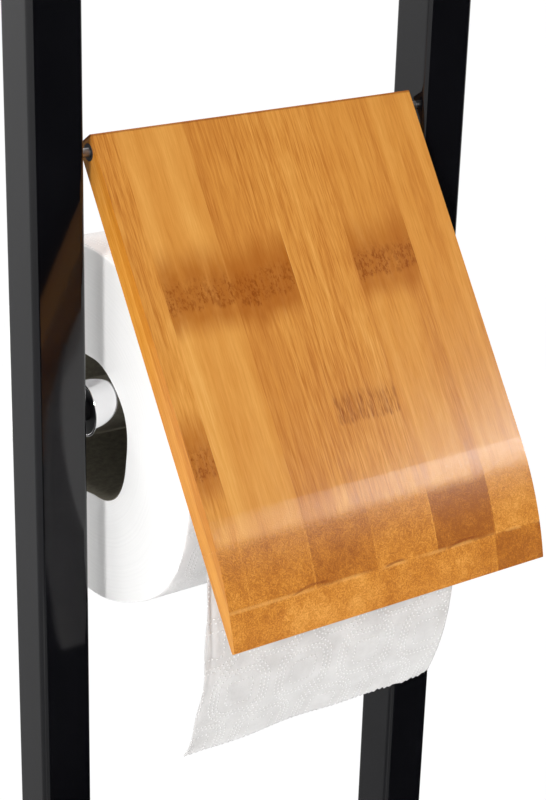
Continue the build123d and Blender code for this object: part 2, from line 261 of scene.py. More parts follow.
# Places from a node, down the slope, where its bar and its stain start, are full, fade and are gone
NODE_BAR = (-7.5 * MM, -2.0 * MM, 3.4 * MM, 5.0 * MM)
STAIN_SPAN = (-19 * MM, -6 * MM, 6.0 * MM, 14.0 * MM)

# Short curved cracks just above the glue line on the nose: middle in X, half length and rise in mm
CRACKS = ((-31.0, 7.5, 0.30), (1.0, 4.5, 0.16), (27.5, 6.5, 0.26))

# Colours from dark to pale
FACE_TONES = (
    (0.0, (0.31, 0.085, 0.010)),
    (0.25, (0.515, 0.175, 0.026)),
    (0.5, (0.66, 0.27, 0.046)),
    (0.75, (0.76, 0.35, 0.074)),
    (1.0, (0.86, 0.45, 0.12)),
)
END_TONES = (
    (0.0, (0.33, 0.092, 0.004)),
    (0.3, (0.47, 0.152, 0.009)),
    (0.6, (0.62, 0.235, 0.022)),
    (1.0, (0.80, 0.37, 0.070)),
)
SIDE_TONES = (
    (0.0, (0.46, 0.150, 0.014)),
    (0.5, (0.62, 0.225, 0.022)),
    (1.0, (0.75, 0.33, 0.050)),
)
NODE_STAIN = (0.42, 0.125, 0.012)
# Dark brown of the nodes and cracks, also used as painted shade along the lid's rear edge
NODE_DARK_AND_REAR_SHADE = (0.22, 0.040, 0.001)
GLUE_PALE = (0.80, 0.42, 0.11)


def strip_value(graph, x, column, full=1.0):
    """A constant along each bamboo strip, from one column of STRIPS, as a share of its full value."""
    across = graph.plus(x, 1 / (STRIP_SPAN * MM), 0.5)
    edge = 0.0
    stops = []
    for row in STRIPS:
        stops.append((edge, row[column] / full))
        edge = row[0] / STRIP_SPAN + 0.5
    return graph.ramp(across, stops, constant=True)


def strip_tone(graph, local, x, medium, fine):
    """Long fibres in three widths over each strip's own tone."""
    broad = graph.noise(graph.scaled(local, 150, 5, 300), detail=2)
    cloud = graph.noise(graph.scaled(local, 90, 45, 90), detail=3)
    streak = strip_value(graph, x, STREAK)
    tone = graph.sway(broad, 0.5, 0.7, strip_value(graph, x, FACE))
    tone = graph.plus(graph.times(graph.minus(medium, 0.5), streak), 1.1, tone)
    tone = graph.plus(graph.times(graph.minus(fine, 0.5), streak), 1.2, tone)
    return graph.sway(cloud, 0.5, 0.3, tone)


def with_nodes(graph, face, local, x, down, medium):
    """The nodes: a mottled bar across each strip, in a stain that fades up and down the slope."""
    ragged = graph.noise(graph.scaled(local, 1100, 30, 0), detail=2)
    wander = graph.noise(graph.scaled(local, 130, 10, 0), detail=1)
    place = graph.times(strip_value(graph, x, NODE_PLACE, NODE_REACH), NODE_REACH * MM)
    away = graph.sway(ragged, 0.5, 5 * MM, graph.minus(down, place))
    away = graph.sway(wander, 0.5, 4 * MM, away)
    bar = graph.band(away, *NODE_BAR)
    blotch = graph.noise(graph.scaled(local, 260, 90, 0), detail=3)
    blotch = graph.math("MULTIPLY_ADD", blotch, 1.2, 0.3, clamp=True)
    stain = graph.times(graph.band(away, *STAIN_SPAN), blotch)

    # Most nodes are flecked, and one with little stain is a patch of short fibres
    flecks = graph.noise(graph.scaled(local, 1050, 620, 1200), detail=3, roughness=0.65)
    flecks = graph.step(flecks, 0.46, 0.60)
    fibrous = graph.noise(graph.scaled(local, 2100, 260, 1500), detail=3)
    stained = strip_value(graph, x, STAINED)
    flecks = graph.mix(graph.step(stained, 0.2, 0.6), graph.step(fibrous, 0.38, 0.60), flecks)
    marked = graph.times(bar, graph.plus(flecks, 0.56, graph.plus(stained, 0.06, 0.11)))
    marked = graph.times(marked, graph.plus(stained, 0.1, 0.9))
    marked = graph.times(marked, graph.plus(graph.step(medium, 0.40, 0.62), -0.45, 1.0))
    face = graph.mix(graph.times(stain, stained), face, NODE_STAIN)
    return graph.mix(marked, face, NODE_DARK_AND_REAR_SHADE)


def strip_seam(graph, x):
    """1 on the thin pale joints between the strips."""
    total = 0.0
    for place in SEAMS:
        total = graph.math("MAXIMUM", total, graph.step(graph.off(x, place * MM), 0.5 * MM, 0.1 * MM))
    return total


def end_grain(graph, local, x, lower_ply, grain):
    """End grain on the milled nose: each strip's own tone above, soft blotches in the ply below."""
    swirl = graph.noise(graph.scaled(local, 380, 380, 200), detail=3, roughness=0.6, distortion=1.6)
    swirl = graph.off(graph.math("FRACT", graph.times(swirl, 5.0)), 0.5)
    mottle = graph.noise(graph.scaled(local, 150, 150, 90), detail=4, roughness=0.6)
    lower_strips = graph.noise(graph.scaled(local, 62, 3, 0), detail=1)
    right_end = graph.step(x, 40.5 * MM, 41.5 * MM)
    lower_tone = graph.plus(right_end, -0.35, graph.plus(lower_strips, 0.9, 0.08))
    tone = graph.mix(lower_ply, strip_value(graph, x, END), lower_tone)
    tone = graph.sway(mottle, 0.5, 0.8, tone)
    tone = graph.sway(grain, 0.5, 0.9, tone)
    tone = graph.sway(swirl, 0.25, 0.7, tone)
    seam = graph.times(strip_seam(graph, x), graph.minus(1.0, lower_ply))
    return graph.ramp(graph.plus(seam, 0.12, tone), END_TONES)


def cracks(graph, x, depth):
    """1 on the short curved cracks."""
    total = 0.0
    for middle, half, rise in CRACKS:
        along = graph.math("DIVIDE", graph.minus(x, middle * MM), half * MM)
        lean = graph.plus(along, 0.6 * rise * MM, PLY_LINE + 1.1 * rise * MM)
        bow = graph.plus(graph.times(along, along), -rise * MM, lean)
        line = graph.step(graph.off(depth, bow), 0.14 * MM, 0.05 * MM)
        inside = graph.step(graph.math("ABSOLUTE", along), 1.0, 0.6)
        total = graph.math("MAXIMUM", total, graph.times(inside, line))
    return total


def glue_line(graph, local, depth):
    """1 on the glue line between the plies, where it isn't worn."""
    line = graph.step(graph.off(depth, PLY_LINE), 0.22 * MM, 0.05 * MM)
    worn = graph.noise(graph.scaled(local, 120, 120, 0), detail=2)
    return graph.times(line, graph.step(worn, 0.35, 0.6))


def side_share(graph):
    """1 on the faces that look along X."""
    turned = graph.node(
        "ShaderNodeVectorTransform",
        vector_type="NORMAL",
        convert_from="WORLD",
        convert_to="OBJECT",
    )
    graph.put(turned.inputs[0], graph.node("ShaderNodeNewGeometry").outputs["Normal"])
    return graph.step(graph.math("ABSOLUTE", graph.split(turned.outputs[0])[0]), 0.6, 0.9)


def lid_heel():
    """How far the lid reaches behind its hinge, along the slope."""
    uphill = Vector((0, math.cos(lid_slope), math.sin(lid_slope)))
    return max((corner.co - hinge).dot(uphill) for corner in nodes["lid"].data.vertices)


def bamboo():
    """The lid's material, from places turned into the board: across, down the slope and through it."""
    graph = Graph("bamboo")
    turn = graph.node("ShaderNodeMapping", vector_type="TEXTURE")
    graph.put(turn.inputs["Vector"], graph.place())
    turn.inputs["Location"].default_value = hinge
    turn.inputs["Rotation"].default_value = (lid_slope, 0, 0)
    x, up_slope, depth = graph.split(turn.outputs[0])
    down = graph.times(up_slope, -1.0)
    local = graph.join(x, down, depth)
    medium = graph.noise(graph.scaled(local, 850, 28, 900), detail=3, roughness=0.6)
    fine = graph.noise(graph.scaled(local, 2600, 130, 2300), detail=2, roughness=0.6)
    grain = graph.noise(graph.scaled(local, 2400, 2400, 900), detail=2, roughness=0.7)

    tone = strip_tone(graph, local, x, medium, fine)
    face = with_nodes(graph, graph.ramp(tone, FACE_TONES), local, x, down, medium)
    lower_ply = graph.step(depth, PLY_LINE + PLY_BLEND, PLY_LINE - PLY_BLEND)
    on_nose = graph.step(down, NOSE_START, NOSE_FULL)
    colour = graph.mix(on_nose, face, end_grain(graph, local, x, lower_ply, grain))

    # On the sides the lower ply is brighter
    side = graph.ramp(graph.plus(lower_ply, 0.3, tone), SIDE_TONES)
    colour = graph.mix(side_share(graph), colour, side)
    colour = graph.mix(graph.times(glue_line(graph, local, depth), 0.42), colour, GLUE_PALE)
    colour = graph.mix(graph.times(cracks(graph, x, depth), 0.55), colour, NODE_DARK_AND_REAR_SHADE)

    # The rear edge is darkened: painted shade standing in for the shaded rear face
    rear_edge_shade = graph.step(down, -lid_heel() + 1.1 * MM, -lid_heel() + 0.4 * MM)
    graph.set("Base Color", graph.mix(graph.times(rear_edge_shade, 0.7), colour, NODE_DARK_AND_REAR_SHADE))

    frosted = graph.step(down, NOSE_START - FROST_REACH, NOSE_START)
    height = graph.plus(graph.times(frosted, grain), 1.5, graph.plus(fine, 0.5, medium))
    graph.set("Roughness", graph.plus(on_nose, 0.14, graph.plus(fine, 0.12, 0.13)))
    graph.set("Normal", graph.bump(height, 0.05 * MM, 0.5))
    graph.set("Specular IOR Level", 0.5)
    return graph.material


def black_paint():
    graph = Graph("black_paint")
    place = graph.place()
    peel = graph.noise(place, scale=240, detail=2)
    dust = graph.noise(place, scale=35, detail=4)
    tones = ((0.3, (0.0022, 0.0022, 0.0030)), (0.8, (0.0042, 0.0042, 0.0055)))
    graph.set("Base Color", graph.ramp(dust, tones))
    graph.set("Roughness", graph.plus(dust, 0.05, 0.07))
    graph.set("Normal", graph.bump(peel, 0.02 * MM, 0.25))
    return graph.material


def metal(name, colour, roughness, brush=0.0):
    graph = Graph(name)
    place = graph.place()
    lines = graph.noise(graph.scaled(place, 90, 1800, 1800), detail=2)
    smudge = graph.noise(place, scale=60, detail=3)
    dark = tuple(0.86 * part for part in colour)
    graph.set("Base Color", graph.ramp(smudge, ((0.3, dark), (0.7, colour))))
    graph.set("Metallic", 1.0)
    graph.set("Roughness", graph.plus(smudge, 0.06 + brush, roughness))
    graph.set("Normal", graph.bump(lines, 0.01 * MM, 0.2 + brush))
    return graph.material


def plastic(name, colour, roughness, grain=900.0, depth=0.03):
    graph = Graph(name)
    place = graph.place()
    pits = graph.noise(place, scale=grain, detail=2)
    cloud = graph.noise(place, scale=40, detail=3)
    dark = tuple(0.75 * part for part in colour)
    graph.set("Base Color", graph.ramp(cloud, ((0.3, dark), (0.7, colour))))
    graph.set("Roughness", graph.plus(pits, 0.12, roughness))
    graph.set("Normal", graph.bump(pits, depth * MM, 0.5))
    return graph.material


def card():
    graph = Graph("card")
    place = graph.place()
    fibres = graph.noise(graph.scaled(place, 500, 900, 900), detail=4, roughness=0.7)
    tones = ((0.3, (0.11, 0.098, 0.07)), (0.7, (0.18, 0.165, 0.12)))
    graph.set("Base Color", graph.ramp(fibres, tones))
    graph.set("Roughness", 0.85)
    graph.set("Normal", graph.bump(fibres, 0.08 * MM, 0.6))
    return graph.material


# Embossing: staggered four-lobed rings of small dots, from the paper's own flat coordinates in metres
EMBOSS_ACROSS = 25.0 * MM
EMBOSS_ALONG = 21.0 * MM
EMBOSS_RINGS = ((5.2 * MM, 22), (8.6 * MM, 36), (10.1 * MM, 42), (11.6 * MM, 48))
EMBOSS_LOBE = 0.7 * MM
EMBOSS_HALF = 0.42 * MM


def embossing(graph, flat):
    """Height of the tissue's embossing: 0 on the flat and 1 on a dot."""
    across, along = graph.split(flat)[:2]
    rows = graph.math("DIVIDE", along, EMBOSS_ALONG)
    odd = graph.math("MODULO", graph.math("ABSOLUTE", graph.math("FLOOR", rows)), 2.0)
    columns = graph.plus(odd, 0.5, graph.math("DIVIDE", across, EMBOSS_ACROSS))
    side = graph.times(graph.minus(graph.math("FRACT", columns), 0.5), EMBOSS_ACROSS)
    rise = graph.times(graph.minus(graph.math("FRACT", rows), 0.5), EMBOSS_ALONG)
    reach = graph.length(side, rise)
    turn = graph.math("ARCTAN2", rise, side)
    reach = graph.plus(graph.math("COSINE", graph.times(turn, 4.0)), EMBOSS_LOBE, reach)
    total = 0.0
    for radius, count in EMBOSS_RINGS:
        band = graph.step(graph.off(reach, radius), EMBOSS_HALF, 0.3 * EMBOSS_HALF)
        beads = graph.math("COSINE", graph.times(turn, float(count)))
        total = graph.math("MAXIMUM", total, graph.times(band, graph.step(beads, -0.1, 0.7)))
    return total


def tissue(name, dim, pale):
    """Embossed tissue, its raised dots painted paler as their highlight; the sheet's copy gets darker
    tones, painted shade for the lid's shadow.
    """
    graph = Graph(name)
    flat = graph.node("ShaderNodeUVMap", uv_map="flat").outputs[0]
    raised_dots_and_highlight = embossing(graph, flat)
    fibres = graph.noise(flat, scale=1900, detail=3, roughness=0.7)
    crumple = graph.noise(flat, scale=95, detail=4, roughness=0.55)
    colour = graph.ramp(crumple, ((0.3, dim), (0.65, pale)))
    # The raised dots are painted paler than the paper: a painted highlight on the embossing, while the
    # same mask drives their bump
    graph.set("Base Color", graph.mix(graph.times(raised_dots_and_highlight, 0.6), colour, (0.93, 0.925, 0.92)))
    graph.set("Roughness", 0.92)
    graph.set("Specular IOR Level", 0.2)
    soft = graph.bump(crumple, 1.4 * MM, 0.5)
    pressed = graph.bump(raised_dots_and_highlight, 0.22 * MM, 0.8, under=soft)
    graph.set("Normal", graph.bump(fibres, 0.06 * MM, 0.5, under=pressed))
    graph.set("Sheen Weight", 0.2)
    return graph.material


def tissue_end():
    """The roll's end faces: the edges of many wound layers."""
    graph = Graph("tissue_end")
    place = graph.place()
    y, z = graph.split(place)[1:]
    radius = graph.length(graph.minus(y, roll_axis.y), graph.minus(z, roll_axis.z))
    wander = graph.noise(place, scale=45, detail=3)
    radius = graph.plus(wander, 2.2 * MM, radius)
    layers = graph.noise(graph.join(graph.times(radius, 1400), 0.0, 0.0), detail=3)
    fluff = graph.noise(place, scale=700, detail=3)
    colour = graph.ramp(layers, ((0.3, (0.85, 0.845, 0.838)), (0.7, (0.90, 0.895, 0.885))))
    graph.set("Base Color", colour)
    graph.set("Roughness", 0.95)
    graph.set("Specular IOR Level", 0.15)
    height = graph.plus(fluff, 0.35, layers)
    graph.set("Normal", graph.bump(height, 0.12 * MM, 0.45))
    return graph.material


def mesh_object(name, vertices, faces):
    mesh = bpy.data.meshes.new(name)
    mesh.from_pydata(vertices, [], faces)
    mesh.update()
    made = bpy.data.objects.new(name, mesh)
    bpy.context.scene.collection.objects.link(made)
    return made


def smooth(made, angle=40.0):
    for face in made.data.polygons:
        face.use_smooth = True
    made.data.set_sharp_from_angle(angle=math.radians(angle))


# The roll's outline isn't quite round: angle in degrees from the back, width, and amount in mm
ROLL_BULGES = (
    (112, 14, 2.0),
    (214, 14, 0.5),
    (244, 17, -1.6),
    (268, 14, -0.4),
)
BORE_BULGES = (
    (90, 12, -0.8),
    (150, 14, 0.4),
    (188, 18, -1.2),
    (226, 12, 0.4),
    (264, 14, -1.3),
)
ROLL_TURNS = 288
ROLL_STEPS = 40
ROLL_EDGE = 1.0 * MM
ROLL_EDGE_STEPS = 4
BORE_LIP = 0.85 * MM
ROLL_SAG = 0.35 * MM


def bulge(bulges, angle):
    total = 0.0
    for centre, width, amount in bulges:
        off = (math.degrees(angle) - centre + 180) % 360 - 180
        total += amount * MM * math.exp(-((off / width) ** 2))
    return total


def roll_profile():
    """Points round one half section of the roll, starting in the bore at the left.

    Each has its radius, its place along X, and how much it follows the outer and the bore's bulges.
    """
    left = roll_low.x
    right = roll_high.x
    bore = core_radius + 0.05 * MM
    lip = core_radius - BORE_LIP
    profile = [
        (bore, left + 0.5 * MM, 0, 0),
        (lip, left + 0.45 * MM, 0, 1),
        (lip + 0.1 * MM, left + 0.1 * MM, 0, 1),
        (lip + 0.5 * MM, left, 0, 1),
    ]
    for share in (0.3, 0.6, 0.85):
        profile.append((bore + share * (roll_radius - bore - ROLL_EDGE), left, share, 1 - share))
    for turn in range(ROLL_EDGE_STEPS + 1):
        angle = math.radians(90 * turn / ROLL_EDGE_STEPS)
        reach = roll_radius - ROLL_EDGE * (1 - math.sin(angle))
        profile.append((reach, left + ROLL_EDGE * (1 - math.cos(angle)), 1, 0))
    end = list(profile)
    for step in range(1, ROLL_STEPS):
        x = left + ROLL_EDGE + (right - left - 2 * ROLL_EDGE) * step / ROLL_STEPS
        profile.append((roll_radius, x, 1, 0))
    for radius, x, outer, inner in reversed(end):
        profile.append((radius, left + right - x, outer, inner))
    return profile


def build_roll(paper, end_paper):
    """The wound roll: outer surface, two end faces and the bore, from one profile turned round X."""
    profile = roll_profile()
    vertices = []
    for turn in range(ROLL_TURNS):
        angle = 2 * math.pi * turn / ROLL_TURNS
        extra = bulge(ROLL_BULGES, angle)
        dent = bulge(BORE_BULGES, angle)
        for radius, x, outer, inner in profile:
            sagging = ROLL_SAG * (math.sin(3 * angle + 40 * x) - 1) * outer
            reach = radius + extra * outer + dent * inner + sagging
            y = roll_axis.y + reach * math.cos(angle)
            z = roll_axis.z + reach * math.sin(angle)
            vertices.append((x, y, z))
    count = len(profile)
    faces = []
    for turn in range(ROLL_TURNS):
        here = turn * count
        after = (turn + 1) % ROLL_TURNS * count
        for step in range(count):
            onward = (step + 1) % count
            faces.append((here + step, here + onward, after + onward, after + step))
    made = mesh_object("toilet_roll", vertices, faces)
    made.data.materials.append(paper)
    made.data.materials.append(end_paper)

    # Flat coordinates of the paper: along X, and the length round the roll
    flat = made.data.uv_layers.new(name="flat")
    for face in made.data.polygons:
        on_end = abs(face.normal.x) > 0.8
        face.material_index = 1 if on_end else 0
        turn = face.index // count
        for loop in face.loop_indices:
            corner = made.data.vertices[made.data.loops[loop].vertex_index].co
            angle = math.atan2(corner.z - roll_axis.z, corner.y - roll_axis.y) % (2 * math.pi)
            if turn == ROLL_TURNS - 1 and angle < math.pi:
                angle += 2 * math.pi
            flat.data[loop].uv = (corner.x, angle * roll_radius)
    recalc(made)
    smooth(made)
    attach(made, "roll")
    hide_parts("paper_roll")


def recalc(made):
    work = bmesh.new()
    work.from_mesh(made.data)
    bmesh.ops.recalc_face_normals(work, faces=work.faces)
    work.to_mesh(made.data)
    work.free()


# The hanging sheet leaves the roll's front a little above its axis, swings out, hangs and curls back
SHEET_LIFT = math.radians(22.0)
SHEET_OFF_ROLL = 0.45 * MM
SHEET_FRONT_OUT = 11.0 * MM
SHEET_STRAIGHT = 22 * MM
SHEET_STRAIGHT_END = 143.0 * MM
SHEET_END = 188.5 * MM
SHEET_CURL = 11.6 * MM
SHEET_THICKNESS = 0.25 * MM
SWING_PULL = 26 * MM
PLUMB_PULL = 20 * MM
CURVE_STEPS = 60
STRAIGHT_STEPS = 20
SHEET_SKEW = 0.9 * MM
SHEET_COLUMNS = 196
SHEET_ROWS = 150
CREASE_AT = 2.3 * MM
CREASE_WIDTH = 0.8 * MM
CREASE_DEPTH = 0.9 * MM
MARGIN = 5 * MM
TORN_FROM = 20 * MM
TOOTH = 3.4 * MM
TORN_SHARE = 0.8
CORNER_WIDTH = 11 * MM
CORNER_RISE = 2.6 * MM


def bezier(start, first, second, end, share):
    rest = 1 - share
    return (
        start * rest ** 3
        + first * 3 * rest * rest * share
        + second * 3 * rest * share * share
        + end * share ** 3
    )


def sheet_line():
    """Points down the sheet, in Y and Z, evenly spaced along its length."""
    reach = roll_radius + SHEET_OFF_ROLL
    middle = Vector((roll_axis.y, roll_axis.z))
    start = middle + Vector((-math.cos(SHEET_LIFT), math.sin(SHEET_LIFT))) * reach
    heading = Vector((-math.sin(SHEET_LIFT), -math.cos(SHEET_LIFT)))
    front = roll_axis.y - roll_radius - SHEET_FRONT_OUT
    straight = Vector((front, hinge.z - SHEET_STRAIGHT_END))
    plumb = straight + Vector((0, SHEET_STRAIGHT))
    first = start + heading * SWING_PULL
    second = plumb + Vector((0, PLUMB_PULL))
    drop = SHEET_END - SHEET_STRAIGHT_END
    curl_radius = (drop ** 2 + SHEET_CURL ** 2) / (2 * SHEET_CURL)
    curl_turn = math.asin(drop / curl_radius)
    curve = []
    for step in range(CURVE_STEPS):
        curve.append(bezier(start, first, second, plumb, step / CURVE_STEPS))
    for step in range(STRAIGHT_STEPS):
        curve.append(plumb.lerp(straight, step / STRAIGHT_STEPS))
    for step in range(CURVE_STEPS + 1):
        turn = curl_turn * step / CURVE_STEPS
        curve.append(straight + curl_radius * Vector((1 - math.cos(turn), -math.sin(turn))))
    lengths = [0.0]
    for before, after in zip(curve, curve[1:]):
        lengths.append(lengths[-1] + (after - before).length)
    line = []
    at = 0
    for row in range(SHEET_ROWS + 1):
        target = lengths[-1] * row / SHEET_ROWS
        while at < len(curve) - 2 and lengths[at + 1] < target:
            at += 1
        share = (target - lengths[at]) / (lengths[at + 1] - lengths[at])
        line.append(curve[at].lerp(curve[at + 1], share))
    return line, lengths[-1]


def wavy(turns):
    return math.sin(2 * math.pi * turns)


def sheet_wave(from_left, share, down):
    """How far a point of the sheet lies off its line: soft waves, a curled margin and a crease."""
    free = min(1.0, max(0.0, (down - 0.12) / 0.5))
    margin = max(0.0, 1 - from_left / MARGIN)
    wave = 0.35 * MM * wavy(1.3 * share + 0.12) * free
    wave += 0.25 * MM * wavy(2.7 * share + 0.6 * down) * free
    wave += 0.6 * MM * margin * margin * wavy(4.5 * down) * free
    winding = CREASE_AT + 0.5 * MM * math.sin(23 * down)
    crease = math.exp(-(((from_left - winding) / CREASE_WIDTH) ** 2))
    return wave - CREASE_DEPTH * crease * math.exp(-(((down - 0.48) / 0.16) ** 2))


def torn_off(x, down):
    """How much the torn lower edge falls short at x: small teeth, and a raised right corner."""
    lowest = max(0.0, (down - TORN_SHARE) / (1 - TORN_SHARE))
    corner = max(0.0, (x - sheet_high.x + CORNER_WIDTH) / CORNER_WIDTH)
    tear = 0.25 * MM * wavy(x / TOOTH * 1.7)
    if x > TORN_FROM:
        tear += 0.7 * MM * wavy(x / TOOTH) * wavy(x / (7.3 * MM))
    return lowest ** 2 * (CORNER_RISE * corner ** 1.5 + 0.4 * MM + tear * lowest ** 6)


def build_sheet(paper):
    line, length = sheet_line()
    width = sheet_high.x - sheet_low.x
    vertices = []
    for row in range(SHEET_ROWS + 1):
        down = row / SHEET_ROWS
        before = line[max(row - 1, 0)]
        after = line[min(row + 1, SHEET_ROWS)]
        along = (after - before).normalized()
        out = Vector((along.y, -along.x))
        skew = SHEET_SKEW * min(1.0, max(0.0, (down - 0.2) / 0.5))
        for column in range(SHEET_COLUMNS + 1):
            share = column / SHEET_COLUMNS
            x = sheet_low.x + width * share - skew
            point = line[row] + out * sheet_wave(width * share, share, down) - along * torn_off(x, down)
            vertices.append((x, point.x, point.y))
    faces = []
    stride = SHEET_COLUMNS + 1
    for row in range(SHEET_ROWS):
        for column in range(SHEET_COLUMNS):
            corner = row * stride + column
            faces.append((corner, corner + 1, corner + stride + 1, corner + stride))
    made = mesh_object("paper_sheet", vertices, faces)
    flat = made.data.uv_layers.new(name="flat")
    for loop in made.data.loops:
        row, column = divmod(loop.vertex_index, stride)
        flat.data[loop.index].uv = (
            sheet_low.x + width * column / SHEET_COLUMNS,
            length * row / SHEET_ROWS,
        )
    made.data.materials.append(paper)
    smooth(made, 80)
    thick = made.modifiers.new("thickness", "SOLIDIFY")
    thick.thickness = SHEET_THICKNESS
    thick.offset = 0
    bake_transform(made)
    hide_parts("hanging_sheet")


# Bristles: tufts of hairs in rings round the brush head
TUFT_RINGS = 16
TUFTS_PER_RING = 26
HAIRS_PER_TUFT = 5
HAIR_RADIUS = 0.28 * MM
HAIR_SIDES = 3
HAIR_LEAN = 0.06
HAIR_RISE = 1.6
HAIR_SHORTER = 1.6
RING_MARGIN = 1.2 * MM
END_TAPER = 6 * MM
BRISTLE_SEED = 7


def hair_line(outward, lean, root, tip_reach, height, rise, low, high):
    """A hair's three places from root to tip, each with its share of the full thickness."""
    angle = math.atan2(outward.y, outward.x) + lean
    tip_way = Vector((math.cos(angle), math.sin(angle), 0))
    middle = outward.lerp(tip_way, 0.5) * (root + tip_reach) / 2
    tip_height = min(high, max(low, height + rise * 1.3))
    return (
        (outward * root + Vector((0, 0, height)), 1.0),
        (middle + Vector((0, 0, height + rise * 0.6)), 0.95),
        (tip_way * tip_reach + Vector((0, 0, tip_height)), 0.6),
    )


def add_hair(vertices, faces, outward, line):
    """A tube with few sides along the hair's three places, closed at both ends."""
    side = Vector((-outward.y, outward.x, 0))
    at = len(vertices)
    for place, thickness in line:
        for corner in range(HAIR_SIDES):
            spin = 2 * math.pi * corner / HAIR_SIDES
            ring_way = side * math.cos(spin) + Vector((0, 0, math.sin(spin)))
            vertices.append(place + ring_way * HAIR_RADIUS * thickness)
    for level in (at, at + HAIR_SIDES):
        above = level + HAIR_SIDES
        for corner in range(HAIR_SIDES):
            onward = (corner + 1) % HAIR_SIDES
            faces.append((level + corner, level + onward, above + onward, above + corner))
    tip = at + 2 * HAIR_SIDES
    faces.append(tuple(range(tip, tip + HAIR_SIDES)))
    faces.append(tuple(reversed(range(at, at + HAIR_SIDES))))


def build_bristles(material):
    low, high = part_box("bristles")
    head_low, head_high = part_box("brush_head")
    root = (head_high.x - head_low.x) / 2 - 0.5 * MM
    reach = (high.x - low.x) / 2
    chance = random.Random(BRISTLE_SEED)
    vertices = []
    faces = []
    for ring in range(TUFT_RINGS):
        height = low.z + RING_MARGIN + (high.z - low.z - 2 * RING_MARGIN) * ring / (TUFT_RINGS - 1)
        middle = abs(ring / (TUFT_RINGS - 1) - 0.5) * 2
        ring_reach = reach - END_TAPER * middle ** 3
        for tuft in range(TUFTS_PER_RING):
            angle = 2 * math.pi * (tuft + ring % 2 / 2) / TUFTS_PER_RING
            outward = Vector((math.cos(angle), math.sin(angle), 0))
            for hair in range(HAIRS_PER_TUFT):
                lean = chance.uniform(-HAIR_LEAN, HAIR_LEAN)
                rise = chance.uniform(-HAIR_RISE, HAIR_RISE) * MM
                tip_reach = ring_reach - chance.uniform(0.0, HAIR_SHORTER) * MM
                line = hair_line(outward, lean, root, tip_reach, height, rise, low.z, high.z)
                add_hair(vertices, faces, outward, line)
    made = mesh_object("brush_hairs", vertices, faces)
    made.data.materials.append(material)
    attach(made, "brush")
    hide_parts("bristles")


def build_spring(material):
    """The roller's spring: a copy of the frame's spring mesh in the wire's material."""
    made = bpy.data.objects.new("coil_spring", nodes["roller_spring"].data.copy())
    bpy.context.scene.collection.objects.link(made)
    made.data.materials.clear()
    made.data.materials.append(material)
    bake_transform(made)
    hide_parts("roller_spring")


def dress(material, *names):
    for name in names:
        data = nodes[name].data
        data.materials.clear()
        data.materials.append(material)


# The stage in metres: a floor and a world that are white to the camera and in reflections but light
# the object less, and a dark flat and a softbox at the front right
STAGE_HALF = 6.0
FLOOR_WHITE_SHARE = 0.95
WORLD_LIGHT = 0.41
DARK_AZIMUTH = math.radians(38)
DARK_HALF = 0.85
DARK_PROFILE = ((0.16, 0.002), (0.95, 0.002), (0.95, 1.9))
SOFTBOX_HALF_WIDTH = 0.30
SOFTBOX_HALF_HEIGHT = 0.045
SOFTBOX_AWAY = 0.93
SOFTBOX_SHIFT = 0.35
SOFTBOX_GLOW = 16.0

# The suns: the way toward each, its strength, and its softness in degrees
KEY_SUN = ((-0.75, -0.60, 0.42), 0.66, 8)
BACK_SUN = ((0.0, 0.62, 0.78), 1.0, 20)

# The low fill: the way from what it lights to it, in metres, and its power in watts
LOW_FILL_WAY = Vector((-0.15, -0.50, -0.52))
LOW_FILL_POWER = 0.35


def four_sided(name, centre, across, rise):
    """A flat piece round its centre, from its two half sides."""
    low = centre - rise
    high = centre + rise
    corners = [low - across, low + across, high + across, high - across]
    return mesh_object(name, corners, [(0, 1, 2, 3)])


def stage_square(name, height):
    """A large level square over the origin."""
    return four_sided(name, Vector((0, 0, height)), Vector((STAGE_HALF, 0, 0)), Vector((0, STAGE_HALF, 0)))


def background_share(tree):
    """1 for camera, glossy and transmission rays, 0 for rays that light the object."""
    path = tree.nodes.new("ShaderNodeLightPath")
    total = path.outputs["Is Camera Ray"]
    for name in ("Is Glossy Ray", "Is Transmission Ray"):
        either = tree.nodes.new("ShaderNodeMath")
        either.operation = "MAXIMUM"
        tree.links.new(total, either.inputs[0])
        tree.links.new(path.outputs[name], either.inputs[1])
        total = either.outputs[0]
    return total


def build_floor():
    floor = stage_square("floor", 0)
    graph = Graph("floor_paper")
    tree = graph.tree
    grain = graph.noise(graph.place(), scale=300, detail=2)
    graph.set("Base Color", graph.ramp(grain, ((0.0, 0.92), (1.0, 0.95))))
    graph.set("Roughness", 0.9)
    graph.set("Specular IOR Level", 0.1)
    white = graph.node("ShaderNodeEmission")
    white.inputs["Strength"].default_value = 1.0
    mix = graph.node("ShaderNodeMixShader")
    graph.put(mix.inputs[0], graph.times(background_share(tree), FLOOR_WHITE_SHARE))
    graph.put(mix.inputs[1], graph.shader.outputs[0])
    graph.put(mix.inputs[2], white.outputs[0])
    tree.links.new(mix.outputs[0], tree.nodes["Material Output"].inputs["Surface"])
    floor.data.materials.append(graph.material)


def build_world():
    world = bpy.data.worlds.new("studio")
    bpy.context.scene.world = world
    world.use_nodes = True
    tree = world.node_tree
    lit = tree.nodes["Background"]
    lit.inputs["Color"].default_value = (1, 1, 1, 1)
    lit.inputs["Strength"].default_value = WORLD_LIGHT
    seen = tree.nodes.new("ShaderNodeBackground")
    seen.inputs["Color"].default_value = (1, 1, 1, 1)
    seen.inputs["Strength"].default_value = 1.0
    mix = tree.nodes.new("ShaderNodeMixShader")
    tree.links.new(background_share(tree), mix.inputs[0])
    tree.links.new(lit.outputs[0], mix.inputs[1])
    tree.links.new(seen.outputs[0], mix.inputs[2])
    tree.links.new(mix.outputs[0], tree.nodes["World Output"].inputs["Surface"])


